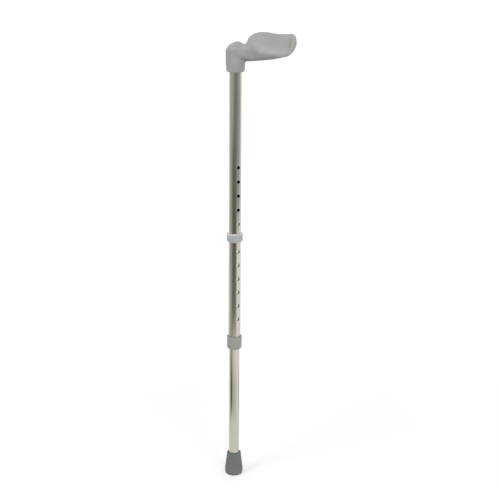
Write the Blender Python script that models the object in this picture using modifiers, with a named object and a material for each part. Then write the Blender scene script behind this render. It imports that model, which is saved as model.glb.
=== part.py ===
"""Height-adjustable walking stick with an anatomical palm handle.

The origin is the centre of the ferrule's base, on the shaft's axis. +Z runs up the shaft,
and the handle reaches back from it along +X. The smooth side of the palm rest faces -Y and
the fingers close on the +Y side. All sizes are in metres.
"""
import math

import bmesh
import bpy
from mathutils import Matrix, Vector

COLLECTION_NAME = "ergonomic_walking_stick"

# Clearances
GAP = 0.0003                     # between pieces that touch
TUBE_CLEARANCE = 0.000375        # lower tube to the inside of the upper tube

# Lower tube
LOWER_TUBE_RADIUS = 0.009525
LOWER_TUBE_LENGTH = 0.4862
LOWER_HOLE_FROM_TOP = 0.0344
TUBE_WALL = 0.0012

# Upper tube and its row of height holes
UPPER_TUBE_LENGTH = 0.5354
HOLE_RADIUS = 0.00325
HOLE_PITCH = 0.0254
HOLE_COUNT = 12
HOLE_IN_USE = 6                  # counted from the top hole
LOWEST_HOLE_FROM_END = 0.0527
HOLE_ROW_TURN = math.radians(-45)

# Rubber ferrule
FERRULE_HEIGHT = 0.0424
FERRULE_FLOOR = 0.0080
FERRULE_MOUTH_WALL = 0.0030
FERRULE_TAPER = 0.0022
FERRULE_FOOT_STEP = 0.0014
FERRULE_FOOT_HEIGHT = 0.0118
FERRULE_STEP_HEIGHT = 0.0060
FERRULE_EDGE_ROUND = 0.0030
FERRULE_MOUTH_CHAMFER = 0.0014
TREAD_DISC_RADIUS = 0.0040
TREAD_GROOVE_WIDTH = 0.0016
TREAD_GROOVE_DEPTH = 0.0012
TREAD_GROOVES = 2

# Steel washer that keeps the tube's end from cutting the rubber
WASHER_THICKNESS = 0.0015
WASHER_HOLE_RADIUS = 0.0030

# Guide bush in the lower tube's upper end
BUSH_FLANGE = 0.0020
BUSH_LENGTH = 0.0120
BUSH_WALL = 0.0020
BUSH_CLEARANCE = 0.0003

# Collar on the upper tube's lower end
COLLAR_WALL = 0.0020
COLLAR_GRIP_LENGTH = 0.0185
COLLAR_LIP_LENGTH = 0.0057
COLLAR_TOP_CHAMFER = 0.0010
COLLAR_END_CHAMFER = 0.0026

# Clip with the pin that sets the height
CLIP_WALL = 0.0031
CLIP_HEIGHT = 0.0157
CLIP_DROP = 0.0006               # ring's middle below its pin
CLIP_MOUTH = 0.0165
CLIP_EDGE_ROUND = 0.0022
CLIP_PIN_TIP_ROUND = 0.0010

# Plug in the upper tube's upper end, and the screw that holds the handle on
PLUG_LENGTH = 0.0280
PLUG_HEAD = 0.0020
PLUG_WALL = 0.0040
SCREW_RADIUS = 0.0019
SCREW_LENGTH = 0.0130
SCREW_HEAD_RADIUS = 0.0038
SCREW_HEAD_HEIGHT = 0.0022
SCREW_BELOW_TUBE_TOP = 0.0210
SCREW_RECESS_DEPTH = 0.0030

# Handle: the socket that takes the upper tube
SOCKET_WALL = 0.0056
SOCKET_DEPTH = 0.0380
SOCKET_SHOULDER_HEIGHT = 0.0370
SOCKET_DOME_HEIGHT = 0.0145
SOCKET_DOME_LEAN = 0.0036         # how far the dome's top leans back over the arm
SOCKET_SHOULDER_CUT = 0.0005      # how far the dome's shoulder lies inside an ellipse
SOCKET_FOOT_TAPER = 0.0013
SOCKET_EDGE_CHAMFER = 0.0014

# Handle: the arm that runs back from the socket, and the palm rest on it
HANDLE_REACH = 0.1050            # shaft axis to the rear end
THUMB_GROOVE = 0.0015            # socket's side to the start of the palm rest's nose
ARM_BELOW_DOME = 0.0038          # top of the socket to the arm's top
ARM_HEIGHT = 0.0300
ARM_HALF_WIDTH = 0.0155
ARM_BACK_RISE = 0.0300           # how far the underside climbs towards the rear end
CREST_RISE = 0.0192              # highest line of the palm rest above the arm's top
WING_REACH = 0.0340              # shaft plane to the palm wing's lip, towards -Y
WING_DROP = 0.0138               # arm's top to the lowest stretch of the lip
LIP_RADIUS = 0.0040
LIP_FRONT_RADIUS = 0.0090
DISH_DEPTH = 0.0060
REAR_RIM_HEIGHT = 0.0024
REAR_ROUNDING = 0.0125           # length over which the rear end rounds off
REAR_CENTRE_OFFSET = 0.0080      # shaft plane to the middle of the rear end, towards -Y
REAR_CENTRE_RISE = 0.0044        # arm's top to the middle of the rear end
RIDGE_OFFSET = 0.0090            # shaft plane to the crest, towards +Y
RIDGE_ROUND = 0.0070
FINGER_HOLLOW = 0.0022

# Facets
ROUND_SEGMENTS = 48
HOLE_SEGMENTS = 16
DOME_STEPS = 7
CURVE_STEPS = 4                  # facets between two points of a handle section
REAR_STEPS = 10                  # sections over the rear end's rounding

# Sizes that follow from the ones above
UPPER_TUBE_RADIUS = LOWER_TUBE_RADIUS + TUBE_CLEARANCE + TUBE_WALL
FERRULE_BORE_RADIUS = LOWER_TUBE_RADIUS + GAP
COLLAR_RADIUS = UPPER_TUBE_RADIUS + GAP + COLLAR_WALL
CLIP_RADIUS = UPPER_TUBE_RADIUS + GAP + CLIP_WALL
SOCKET_RADIUS = UPPER_TUBE_RADIUS + GAP + SOCKET_WALL
PIN_RADIUS = HOLE_RADIUS - GAP

WASHER_BASE = FERRULE_FLOOR + GAP
LOWER_TUBE_BASE = WASHER_BASE + WASHER_THICKNESS + GAP
LOWER_TUBE_TOP = LOWER_TUBE_BASE + LOWER_TUBE_LENGTH
PIN_HEIGHT = LOWER_TUBE_TOP - LOWER_HOLE_FROM_TOP
UPPER_TUBE_BASE = PIN_HEIGHT - LOWEST_HOLE_FROM_END - (HOLE_COUNT - HOLE_IN_USE) * HOLE_PITCH
UPPER_TUBE_TOP = UPPER_TUBE_BASE + UPPER_TUBE_LENGTH
SOCKET_BASE = UPPER_TUBE_TOP - SOCKET_DEPTH
SOCKET_HEIGHT = SOCKET_SHOULDER_HEIGHT + SOCKET_DOME_HEIGHT
SCREW_HEIGHT = UPPER_TUBE_TOP - SCREW_BELOW_TUBE_TOP
SCREW_SEAT = SOCKET_RADIUS - SCREW_RECESS_DEPTH
ARM_TOP = SOCKET_HEIGHT - ARM_BELOW_DOME
ARM_BOTTOM = ARM_TOP - ARM_HEIGHT

MERGE = 0.00001


def clear_scene():
    """Take every object out of the scene, so that the script can be run again."""
    for obj in list(bpy.data.objects):
        bpy.data.objects.remove(obj, do_unlink=True)


def new_collection(name):
    """A collection of this name, linked to the scene."""
    collection = bpy.data.collections.get(name)
    if collection is None:
        collection = bpy.data.collections.new(name)
        bpy.context.scene.collection.children.link(collection)
    return collection


def linear(value):
    """One 0-255 colour channel as the linear value that a shader takes."""
    share = value / 255
    if share <= 0.04045:
        return share / 12.92
    return ((share + 0.055) / 1.055) ** 2.4


def new_material(name, colour, roughness, metallic=0.0):
    """A Principled material from a 0-255 colour."""
    material = bpy.data.materials.new(name)
    material.use_nodes = True
    shader = material.node_tree.nodes["Principled BSDF"]
    shader.inputs["Base Color"].default_value = [linear(channel) for channel in colour] + [1.0]
    shader.inputs["Roughness"].default_value = roughness
    shader.inputs["Metallic"].default_value = metallic
    return material


def add_object(name, mesh, collection):
    """A new object holding the mesh, linked to the collection."""
    obj = bpy.data.objects.new(name, mesh)
    collection.objects.link(obj)
    return obj


def add_cutter(name, mesh):
    """An object that only cuts others: drawn as wire and kept out of renders."""
    cutter = add_object(name, mesh, new_collection("cutters"))
    cutter.hide_render = True
    cutter.display_type = "WIRE"
    return cutter


def turned(name, profile, collection, closed=True):
    """A turned solid. The profile's (radius, height) points run down its outer side.

    A closed profile goes round a bore. An open one starts and ends on the axis.
    """
    mesh = bpy.data.meshes.new(name)
    edges = [(i, i + 1) for i in range(len(profile) - 1)]
    if closed:
        edges.append((len(profile) - 1, 0))
    mesh.from_pydata([(radius, 0.0, height) for radius, height in profile], edges, [])
    obj = add_object(name, mesh, collection)
    screw = obj.modifiers.new("turn", "SCREW")
    screw.axis = "Z"
    screw.angle = math.tau
    screw.steps = ROUND_SEGMENTS
    screw.render_steps = ROUND_SEGMENTS
    screw.use_merge_vertices = True
    screw.merge_threshold = MERGE
    return obj


def rod_mesh(name, radius, start, end, segments):
    """A capped cylinder mesh along X, from x = start to x = end."""
    mesh = bpy.data.meshes.new(name)
    bm = bmesh.new()
    along_x = Matrix.Translation(((start + end) / 2, 0, 0)) @ Matrix.Rotation(math.pi / 2, 4, "Y")
    bmesh.ops.create_cone(
        bm, cap_ends=True, segments=segments, radius1=radius, radius2=radius,
        depth=end - start, matrix=along_x,
    )
    bm.to_mesh(mesh)
    bm.free()
    return mesh


def boolean(obj, other, operation):
    """Cut or join obj with other."""
    modifier = obj.modifiers.new(operation.lower(), "BOOLEAN")
    modifier.operation = operation
    modifier.solver = "EXACT"
    modifier.object = other


def bake(obj, material):
    """Turn the modifiers' result into the object's own mesh, shade it and give it its material."""
    depsgraph = bpy.context.evaluated_depsgraph_get()
    mesh = bpy.data.meshes.new_from_object(obj.evaluated_get(depsgraph))
    mesh.name = obj.name
    obj.modifiers.clear()
    obj.data = mesh
    mesh.shade_smooth()
    mesh.set_sharp_from_angle(angle=math.radians(32))
    mesh.materials.clear()
    mesh.materials.append(material)


def arc(centre, radii, start_deg, end_deg, steps):
    """Points on an ellipse's arc, as (radius, height) pairs."""
    points = []
    for i in range(steps + 1):
        angle = math.radians(start_deg + (end_deg - start_deg) * i / steps)
        points.append((centre[0] + radii[0] * math.cos(angle), centre[1] + radii[1] * math.sin(angle)))
    return points


def hole_cutter(name, height):
    """A rod across both walls of a tube, along the hole row's direction."""
    reach = UPPER_TUBE_RADIUS + CLIP_WALL
    cutter = add_cutter(name, rod_mesh(name, HOLE_RADIUS, -reach, reach, HOLE_SEGMENTS))
    cutter.location = (0, 0, height)
    cutter.rotation_euler = (0, 0, HOLE_ROW_TURN)
    return cutter


def screw_axis_cutter(name, radius, start, end):
    """A rod along +Y, on the handle screw's axis."""
    cutter = add_cutter(name, rod_mesh(name, radius, start, end, HOLE_SEGMENTS))
    cutter.location = (0, 0, SCREW_HEIGHT)
    cutter.rotation_euler = (0, 0, math.pi / 2)
    return cutter


def make_ferrule(collection, rubber):
    """The rubber foot: a tapered sleeve on a wider pad, with rings moulded in its tread."""
    mouth = FERRULE_BORE_RADIUS + FERRULE_MOUTH_WALL
    waist = mouth + FERRULE_TAPER
    foot = waist + FERRULE_FOOT_STEP
    lip = FERRULE_MOUTH_CHAMFER / 2
    profile = [
        (0, FERRULE_FLOOR),
        (FERRULE_BORE_RADIUS, FERRULE_FLOOR),
        (FERRULE_BORE_RADIUS, FERRULE_HEIGHT - FERRULE_MOUTH_CHAMFER),
        (FERRULE_BORE_RADIUS + FERRULE_MOUTH_CHAMFER, FERRULE_HEIGHT),
        (mouth - lip, FERRULE_HEIGHT),
        (mouth, FERRULE_HEIGHT - lip),
        (waist, FERRULE_FOOT_HEIGHT + FERRULE_STEP_HEIGHT),
    ]
    profile += arc(
        (foot, FERRULE_FOOT_HEIGHT + FERRULE_STEP_HEIGHT),
        (-FERRULE_FOOT_STEP, -FERRULE_STEP_HEIGHT), 30, 90, 2,
    )
    profile += arc((foot - FERRULE_EDGE_ROUND, FERRULE_EDGE_ROUND), (FERRULE_EDGE_ROUND,) * 2, 0, -90, 3)
    tread_width = foot - FERRULE_EDGE_ROUND - TREAD_DISC_RADIUS
    land = (tread_width - TREAD_GROOVES * TREAD_GROOVE_WIDTH) / TREAD_GROOVES
    for i in reversed(range(TREAD_GROOVES)):
        inner = TREAD_DISC_RADIUS + i * (land + TREAD_GROOVE_WIDTH)
        outer = inner + TREAD_GROOVE_WIDTH
        profile += [(outer, 0), (outer, TREAD_GROOVE_DEPTH), (inner, TREAD_GROOVE_DEPTH), (inner, 0)]
    profile.append((0, 0))
    ferrule = turned("ferrule", profile, collection, closed=False)
    bake(ferrule, rubber)
    return ferrule


def make_washer(collection, steel):
    """The steel washer on the ferrule's floor, under the tube's end."""
    profile = [
        (LOWER_TUBE_RADIUS, WASHER_THICKNESS),
        (LOWER_TUBE_RADIUS, 0),
        (WASHER_HOLE_RADIUS, 0),
        (WASHER_HOLE_RADIUS, WASHER_THICKNESS),
    ]
    washer = turned("ferrule_washer", profile, collection)
    washer.location = (0, 0, WASHER_BASE)
    bake(washer, steel)
    return washer


def tube(name, radius, length, base, holes, collection, material):
    """A drawn tube with a pair of holes at each of the given heights."""
    inner = radius - TUBE_WALL
    obj = turned(name, [(radius, length), (radius, 0), (inner, 0), (inner, length)], collection)
    obj.location = (0, 0, base)
    for i, height in enumerate(holes):
        boolean(obj, hole_cutter(f"{name}_hole_{i + 1}", height), "DIFFERENCE")
    if base + length > SCREW_HEIGHT:
        pilot = screw_axis_cutter(f"{name}_pilot", SCREW_RADIUS + GAP, LOWER_TUBE_RADIUS / 2, SOCKET_RADIUS)
        boolean(obj, pilot, "DIFFERENCE")
    bake(obj, material)
    return obj


def make_guide_bush(collection, nylon):
    """The flanged bush that keeps the lower tube's end central in the upper tube."""
    spigot = LOWER_TUBE_RADIUS - TUBE_WALL - GAP
    flange = UPPER_TUBE_RADIUS - TUBE_WALL - BUSH_CLEARANCE
    bore = spigot - BUSH_WALL
    chamfer = BUSH_FLANGE / 4
    profile = [
        (flange - chamfer, BUSH_FLANGE),
        (flange, BUSH_FLANGE - chamfer),
        (flange, 0),
        (spigot, 0),
        (spigot, -BUSH_LENGTH + chamfer),
        (spigot - chamfer, -BUSH_LENGTH),
        (bore, -BUSH_LENGTH),
        (bore, BUSH_FLANGE),
    ]
    bush = turned("guide_bush", profile, collection)
    bush.location = (0, 0, LOWER_TUBE_TOP + GAP)
    bake(bush, nylon)
    return bush


def make_end_collar(collection, plastic):
    """The collar on the upper tube's end, whose lip stops the lower tube from rattling."""
    grip_bore = UPPER_TUBE_RADIUS + GAP
    lip_bore = LOWER_TUBE_RADIUS + GAP
    top = COLLAR_GRIP_LENGTH
    bottom = -COLLAR_LIP_LENGTH
    profile = [
        (COLLAR_RADIUS - COLLAR_TOP_CHAMFER, top),
        (COLLAR_RADIUS, top - COLLAR_TOP_CHAMFER),
        (COLLAR_RADIUS, bottom + COLLAR_END_CHAMFER),
        (COLLAR_RADIUS - COLLAR_END_CHAMFER / 3, bottom + COLLAR_END_CHAMFER / 3),
        (COLLAR_RADIUS - COLLAR_END_CHAMFER * 2 / 3, bottom),
        (lip_bore, bottom),
        (lip_bore, -GAP),
        (grip_bore, -GAP),
        (grip_bore, top),
    ]
    collar = turned("end_collar", profile, collection)
    collar.location = (0, 0, UPPER_TUBE_BASE)
    bake(collar, plastic)
    return collar


def make_height_clip(collection, plastic):
    """The C-shaped clip: an open ring round the upper tube, with its pin across both tubes."""
    bore = UPPER_TUBE_RADIUS + GAP
    top = CLIP_HEIGHT / 2 - CLIP_DROP
    bottom = -CLIP_HEIGHT / 2 - CLIP_DROP
    corner = CLIP_EDGE_ROUND
    profile = arc((CLIP_RADIUS - corner, top - corner), (corner, corner), 90, 0, 3)
    profile += arc((CLIP_RADIUS - corner, bottom + corner), (corner, corner), 0, -90, 3)
    profile += [(bore, bottom), (bore, top)]
    clip = turned("height_clip", profile, collection)
    mouth = add_cutter("clip_mouth", bpy.data.meshes.new("clip_mouth"))
    bm = bmesh.new()
    size = Matrix.Diagonal((CLIP_RADIUS, CLIP_MOUTH, CLIP_HEIGHT * 2, 1))
    bmesh.ops.create_cube(bm, size=1, matrix=Matrix.Translation((-CLIP_RADIUS, 0, 0)) @ size)
    bm.to_mesh(mouth.data)
    bm.free()
    boolean(clip, mouth, "DIFFERENCE")
    pin_mesh = rod_mesh("clip_pin", PIN_RADIUS, -UPPER_TUBE_RADIUS, bore + CLIP_WALL / 2, HOLE_SEGMENTS)
    pin = add_cutter("clip_pin", pin_mesh)
    tip = pin.modifiers.new("tip", "BEVEL")
    tip.width = CLIP_PIN_TIP_ROUND
    tip.segments = 2
    tip.limit_method = "ANGLE"
    boolean(clip, pin, "UNION")
    bake(clip, plastic)
    return clip


def make_tube_plug(collection, nylon):
    """The plug in the upper tube's end, which the handle's screw bites into."""
    spigot = UPPER_TUBE_RADIUS - TUBE_WALL - GAP
    bore = spigot - PLUG_WALL
    chamfer = PLUG_HEAD / 4
    profile = [
        (0, PLUG_HEAD),
        (UPPER_TUBE_RADIUS - chamfer, PLUG_HEAD),
        (UPPER_TUBE_RADIUS, PLUG_HEAD - chamfer),
        (UPPER_TUBE_RADIUS, 0),
        (spigot, 0),
        (spigot, chamfer - PLUG_LENGTH),
        (spigot - chamfer, -PLUG_LENGTH),
        (bore, -PLUG_LENGTH),
        (bore, -PLUG_HEAD),
        (0, -PLUG_HEAD),
    ]
    plug = turned("tube_plug", profile, collection, closed=False)
    plug.location = (0, 0, UPPER_TUBE_TOP + GAP)
    pilot = screw_axis_cutter("plug_pilot", SCREW_RADIUS + GAP, LOWER_TUBE_RADIUS / 4, SOCKET_RADIUS)
    boolean(plug, pilot, "DIFFERENCE")
    bake(plug, nylon)
    return plug


def make_grip_screw(collection, steel):
    """The pan-headed screw that holds the handle to the tube, on the finger side."""
    dome = arc((0, 0), (SCREW_HEAD_RADIUS, SCREW_HEAD_HEIGHT), 90, 0, 4)
    profile = dome + [
        (SCREW_RADIUS, 0),
        (SCREW_RADIUS, SCREW_RADIUS - SCREW_LENGTH),
        (0, -SCREW_LENGTH),
    ]
    screw = turned("grip_screw", profile, collection, closed=False)
    screw.location = (0, SCREW_SEAT + GAP, SCREW_HEIGHT)
    screw.rotation_euler = (-math.pi / 2, 0, 0)
    bake(screw, steel)
    return screw


def along(keys, share):
    """A smooth value between keyed shares of the palm rest's length, with no overshoot."""
    share = min(max(share, keys[0][0]), keys[-1][0])
    last = len(keys) - 1
    slopes = [(keys[i + 1][1] - keys[i][1]) / (keys[i + 1][0] - keys[i][0]) for i in range(last)]
    tangents = [slopes[0]]
    for before, after in zip(slopes, slopes[1:]):
        flat = before * after <= 0
        tangents.append(0.0 if flat else 2 * before * after / (before + after))
    tangents.append(slopes[-1])
    i = max(k for k in range(last) if keys[k][0] <= share)
    span = keys[i + 1][0] - keys[i][0]
    u = (share - keys[i][0]) / span
    return (
        (2 * u ** 3 - 3 * u ** 2 + 1) * keys[i][1]
        + (u ** 3 - 2 * u ** 2 + u) * span * tangents[i]
        + (3 * u ** 2 - 2 * u ** 3) * keys[i + 1][1]
        + (u ** 3 - u ** 2) * span * tangents[i + 1]
    )


def ease(start, end, value):
    """0 before start, 1 after end, and a smooth rise between them."""
    u = min(max((value - start) / (end - start), 0.0), 1.0)
    return u * u * (3 - 2 * u)


# The palm rest's lines. Each pair is a share of its length, from the nose over the thumb
# groove to the rear end, and a share of the size that the line is measured in.
CREST_LINE = [
    (-0.02, 0.0), (0.0, 0.15), (0.017, 0.37), (0.035, 0.50), (0.07, 0.665), (0.11, 0.79), (0.20, 0.95),
    (0.31, 1.0), (0.43, 0.96), (0.51, 0.89), (0.58, 0.85), (0.72, 0.84), (0.80, 0.855), (0.87, 0.92),
    (0.92, 0.96), (1.0, 1.06),
]
RIDGE_LINE = [(0.0, 0.30), (0.15, 0.75), (0.31, 1.0), (0.75, 1.05), (0.86, 0.90), (1.0, 0.75)]
LIP_SPREAD = [
    (-0.03, 0.0), (0.05, 0.13), (0.15, 0.37), (0.31, 0.70), (0.46, 0.90), (0.60, 0.99), (0.72, 1.0),
    (0.86, 0.90), (1.0, 0.68),
]
LIP_FALL = [
    (0.0, 0.52), (0.15, 0.64), (0.31, 0.79), (0.43, 0.91), (0.56, 1.00), (0.70, 1.04), (0.78, 1.03),
    (0.86, 0.91), (1.0, 0.66),
]
UNDERSIDE_LINE = [
    (0.0, 0.0), (0.12, 0.03), (0.25, 0.07), (0.36, 0.105), (0.48, 0.155), (0.58, 0.21), (0.68, 0.29),
    (0.76, 0.37), (0.84, 0.46), (1.0, 0.60),
]
ARM_WIDTH_LINE = [
    (-0.2, 1.08), (-0.09, 1.06), (0.03, 1.02), (0.15, 0.98), (0.55, 0.92), (0.80, 0.78), (1.0, 0.62),
]
ARM_SHIFT_LINE = [(0.0, 0.0), (0.45, 0.0), (0.70, 0.25), (0.88, 0.50), (1.0, 0.66)]
ARM_FILL_LINE = [
    (0.0, 0.25), (0.15, 0.52), (0.30, 0.75), (0.43, 0.85), (0.56, 0.82), (0.68, 0.68), (0.80, 0.50), (1.0, 0.25),
]
DISH_LINE = [
    (0.05, 0.0), (0.20, 0.27), (0.37, 0.55), (0.54, 0.82), (0.70, 1.0), (0.83, 1.0), (0.86, 0.82),
    (0.885, 0.45), (0.91, 0.12), (0.94, 0.0), (1.0, 0.0),
]
RIM_LINE = [(0.86, 0.0), (0.90, 0.50), (0.94, 1.0), (0.97, 0.80), (1.0, 0.30)]
FINGER_LINE = [(0.0, 0.0), (0.20, 1.0), (0.68, 1.0), (0.90, 0.3), (1.0, 0.0)]
STATIONS = [
    -0.22, -0.11, -0.055, -0.03, -0.01, 0.0, 0.01, 0.02, 0.032, 0.05, 0.075, 0.11, 0.15, 0.20, 0.26, 0.32,
    0.38, 0.45, 0.52, 0.59, 0.66, 0.73, 0.79, 0.83,
]
REAR_LAST_ANGLE = math.radians(84)
# Where the section's points lie on the plain arm, in degrees from +Y towards +Z
ARM_ANGLES = [90, 108, 126, 144, 160, 178, 200, 228, 270, 312, 352, 22, 58]
SIDE_SHARE = 0.55                # how high the arm's widest point lies, from its bottom to the lip
# Where along the palm rest each of those points has left the arm's oval: the nose rises
# steeply over the thumb groove, while the lip grows slowly out of the arm's near side
BLEND_START = -0.04
BLEND_ENDS = [0.03, 0.07, 0.15, 0.24, 0.26, 0.26, 0.24, 0.18, 0.10, 0.10, 0.10, 0.08, 0.05]


def palm_section(share):
    """The palm rest's section at a share of its length, as (y, z) points round it."""
    centre = -along(ARM_SHIFT_LINE, share) * ARM_HALF_WIDTH
    half = along(ARM_WIDTH_LINE, share) * ARM_HALF_WIDTH
    bottom = ARM_BOTTOM + along(UNDERSIDE_LINE, share) * ARM_BACK_RISE
    ridge = Vector((along(RIDGE_LINE, share) * RIDGE_OFFSET, ARM_TOP + along(CREST_LINE, share) * CREST_RISE))
    lip_reach = ARM_HALF_WIDTH + along(LIP_SPREAD, share) * (WING_REACH - ARM_HALF_WIDTH)
    lip = Vector((-lip_reach, ARM_TOP - along(LIP_FALL, share) * WING_DROP))
    round_share = min(1.0, (ridge.y - bottom) / ARM_HEIGHT)
    lip_round = LIP_RADIUS + (1.0 - ease(0.0, 0.6, share)) * (LIP_FRONT_RADIUS - LIP_RADIUS)
    lip_round *= round_share
    ridge_round = RIDGE_ROUND * round_share
    fill = along(ARM_FILL_LINE, share)
    lip_top = lip + Vector((0.45, 0.95)) * lip_round
    lip_under = lip + Vector((0.55 - 0.35 * fill, -0.80)) * lip_round
    chord = ridge - lip_top
    inward = Vector((chord.y, -chord.x)).normalized()
    hollow = along(DISH_LINE, share) * DISH_DEPTH - along(RIM_LINE, share) * REAR_RIM_HEIGHT
    side_z = bottom + max(SIDE_SHARE * (lip_under.y - bottom), lip_round / 4)
    side_y = centre - half
    side_y += fill * (lip_under.x - side_y)
    far_z = bottom + 0.42 * (ridge.y - bottom)
    far_y = centre + half
    flank = Vector((max(far_y, ridge.x + ridge_round), far_z + 0.55 * (ridge.y - ridge_round - far_z)))
    finger = FINGER_HOLLOW * along(FINGER_LINE, share)
    return [
        ridge,
        ridge.lerp(lip_top, 0.34) + inward * hollow * 0.92,
        ridge.lerp(lip_top, 0.70) + inward * hollow * 0.92,
        lip_top,
        lip,
        lip_under,
        Vector((side_y, side_z)),
        Vector((centre + (side_y - centre) * 0.76, bottom + (0.293 + 0.12 * fill) * (side_z - bottom))),
        Vector((centre, bottom)),
        Vector((centre + half * 0.707, bottom + 0.293 * (far_z - bottom))),
        Vector((far_y, far_z)),
        flank - Vector((finger, 0)),
        ridge + Vector((0.86, -0.52)) * ridge_round,
    ]


def arm_section(share):
    """The plain oval arm's section, with the same number of points as the palm rest's."""
    half = along(ARM_WIDTH_LINE, share) * ARM_HALF_WIDTH
    bottom = ARM_BOTTOM + along(UNDERSIDE_LINE, share) * ARM_BACK_RISE
    middle = (ARM_TOP + bottom) / 2
    points = []
    for degrees in ARM_ANGLES:
        angle = math.radians(degrees)
        points.append(Vector((half * math.cos(angle), middle + (ARM_TOP - middle) * math.sin(angle))))
    return points


def closed_curve(points):
    """A smooth closed curve through the points, with CURVE_STEPS steps between two of them."""
    count = len(points)
    curve = []
    for i in range(count):
        before, start, end, after = (points[(i + k) % count] for k in (-1, 0, 1, 2))
        for step in range(CURVE_STEPS):
            u = step / CURVE_STEPS
            curve.append(0.5 * (
                2 * start
                + (end - before) * u
                + (2 * before - 5 * start + 4 * end - after) * u ** 2
                + (3 * start - before - 3 * end + after) * u ** 3
            ))
    return curve


def handle_section(share):
    """The handle's section: the arm's oval where it leaves the socket, then the palm rest's."""
    points = []
    for arm, palm, end in zip(arm_section(share), palm_section(share), BLEND_ENDS):
        points.append(arm.lerp(palm, ease(BLEND_START, end, share)))
    return closed_curve(points)


def make_handle_loft():
    """The arm and the palm rest: one loft through sections that change from an oval to a wing.

    Over the rear rounding the sections shrink to its centre, as a ball's slices do.
    """
    nose = SOCKET_RADIUS + THUMB_GROOVE
    length = HANDLE_REACH - nose
    rounding = REAR_ROUNDING / length
    centre = Vector((-REAR_CENTRE_OFFSET, ARM_TOP + REAR_CENTRE_RISE))
    slices = [(share, 1.0) for share in STATIONS if share < 1.0 - rounding]
    for step in range(REAR_STEPS):
        angle = REAR_LAST_ANGLE * step / (REAR_STEPS - 1)
        slices.append((1.0 - rounding + rounding * math.sin(angle), math.cos(angle)))
    bm = bmesh.new()
    rings = []
    for share, size in slices:
        x = nose + share * length
        points = [centre + (point - centre) * size for point in handle_section(share)]
        rings.append([bm.verts.new((x, point.x, point.y)) for point in points])
    for ring, following in zip(rings, rings[1:]):
        count = len(ring)
        for i in range(count):
            after = (i + 1) % count
            bm.faces.new((ring[i], ring[after], following[after], following[i]))
    bm.faces.new(rings[0])
    bm.faces.new(rings[-1])
    bmesh.ops.recalc_face_normals(bm, faces=bm.faces)
    mesh = bpy.data.meshes.new("handle_loft")
    bm.to_mesh(mesh)
    bm.free()
    loft = add_cutter("handle_loft", mesh)
    loft.location = (0, 0, SOCKET_BASE)
    return loft


def make_grip(collection, plastic):
    """The moulded handle: a domed socket, the arm and the winged palm rest in one piece."""
    foot = SOCKET_RADIUS - SOCKET_FOOT_TAPER
    profile = []
    for radius, height in arc((0, 0), (SOCKET_RADIUS, SOCKET_DOME_HEIGHT), 90, 0, DOME_STEPS):
        cut = SOCKET_SHOULDER_CUT * 4 * radius * height / (SOCKET_RADIUS * SOCKET_DOME_HEIGHT)
        profile.append((radius - cut * 0.7, SOCKET_SHOULDER_HEIGHT + height - cut * 0.7))
    profile += [
        (SOCKET_RADIUS, SOCKET_SHOULDER_HEIGHT / 2),
        (SOCKET_RADIUS - SOCKET_FOOT_TAPER / 3, SOCKET_SHOULDER_HEIGHT / 4),
        (foot, SOCKET_EDGE_CHAMFER),
        (foot - SOCKET_EDGE_CHAMFER / 2, 0),
        (0, 0),
    ]
    grip = turned("grip", profile, collection, closed=False)
    bake(grip, plastic)
    for vertex in grip.data.vertices:
        rise = max(0.0, vertex.co.z - SOCKET_SHOULDER_HEIGHT)
        vertex.co.x += SOCKET_DOME_LEAN * rise / SOCKET_DOME_HEIGHT
    grip.location = (0, 0, SOCKET_BASE)
    boolean(grip, make_handle_loft(), "UNION")
    bore_radius = UPPER_TUBE_RADIUS + GAP
    bore_top = SOCKET_DEPTH + PLUG_HEAD + 2 * GAP
    bore_profile = [(0, bore_top), (bore_radius, bore_top), (bore_radius, -bore_top), (0, -bore_top)]
    bore = turned("socket_bore", bore_profile, new_collection("cutters"), closed=False)
    bore.hide_render = True
    bore.display_type = "WIRE"
    bore.location = (0, 0, SOCKET_BASE)
    bore.rotation_euler = (0, 0, math.pi / ROUND_SEGMENTS)
    boolean(grip, bore, "DIFFERENCE")
    pilot = screw_axis_cutter("socket_pilot", SCREW_RADIUS + GAP, LOWER_TUBE_RADIUS, SOCKET_RADIUS * 1.5)
    recess = screw_axis_cutter("screw_recess", SCREW_HEAD_RADIUS + GAP, SCREW_SEAT, SOCKET_RADIUS * 1.5)
    boolean(grip, pilot, "DIFFERENCE")
    boolean(grip, recess, "DIFFERENCE")
    bake(grip, plastic)
    return grip


def add_pivot(name, location, turn, parent, collection):
    """An empty on a joint's axis, which carries the pieces that move with it."""
    pivot = bpy.data.objects.new(name, None)
    pivot.empty_display_size = LOWER_TUBE_RADIUS
    pivot.location = location
    pivot.rotation_euler = (0, 0, turn)
    pivot.parent = parent
    collection.objects.link(pivot)
    return pivot


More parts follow.
